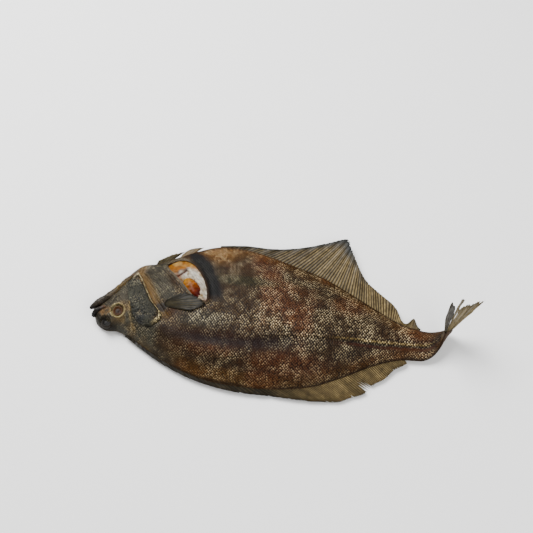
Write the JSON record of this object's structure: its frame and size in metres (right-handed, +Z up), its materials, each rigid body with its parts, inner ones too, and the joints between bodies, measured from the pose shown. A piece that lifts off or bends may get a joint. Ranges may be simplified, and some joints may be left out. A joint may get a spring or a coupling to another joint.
{
  "type": "smoked flatfish",
  "caption": "Whole gutted and smoked flatfish with dried fins, gill covers, both eyes on one side and a tail curled up, lying on its blind side.",
  "frame": {"origin": "on the flat of the blind side that the fish rests on, under mid-body", "axes": "+X towards the tail, +Y towards the belly edge, +Z up out of the eyed side"},
  "size_m": [0.2915, 0.1299, 0.0567],
  "materials": {
    "skin": "dried scaled skin, satin",
    "head_skin": "dried rough skin, satin",
    "fin_skin": "dried translucent membrane over rays",
    "jaw_skin": "charred skin over bone",
    "eye": "glossy dried eye",
    "roe": "waxy"
  },
  "bodies": {
    "root": {"body": "skin", "gill_cover": "head_skin", "blind_gill_cover": "head_skin", "pectoral_fin": "fin_skin", "blind_pectoral_fin": "fin_skin", "lower_jaw": "jaw_skin", "upper_jaw": "jaw_skin", "lower_eye": "eye", "upper_eye": "eye", "anal_fin": "fin_skin", "dorsal_fin": "fin_skin", "tail_fin": "fin_skin", "pelvic_fin": "fin_skin", "blind_pelvic_fin": "fin_skin", "roe": "roe"}
  },
  "joints": []
}
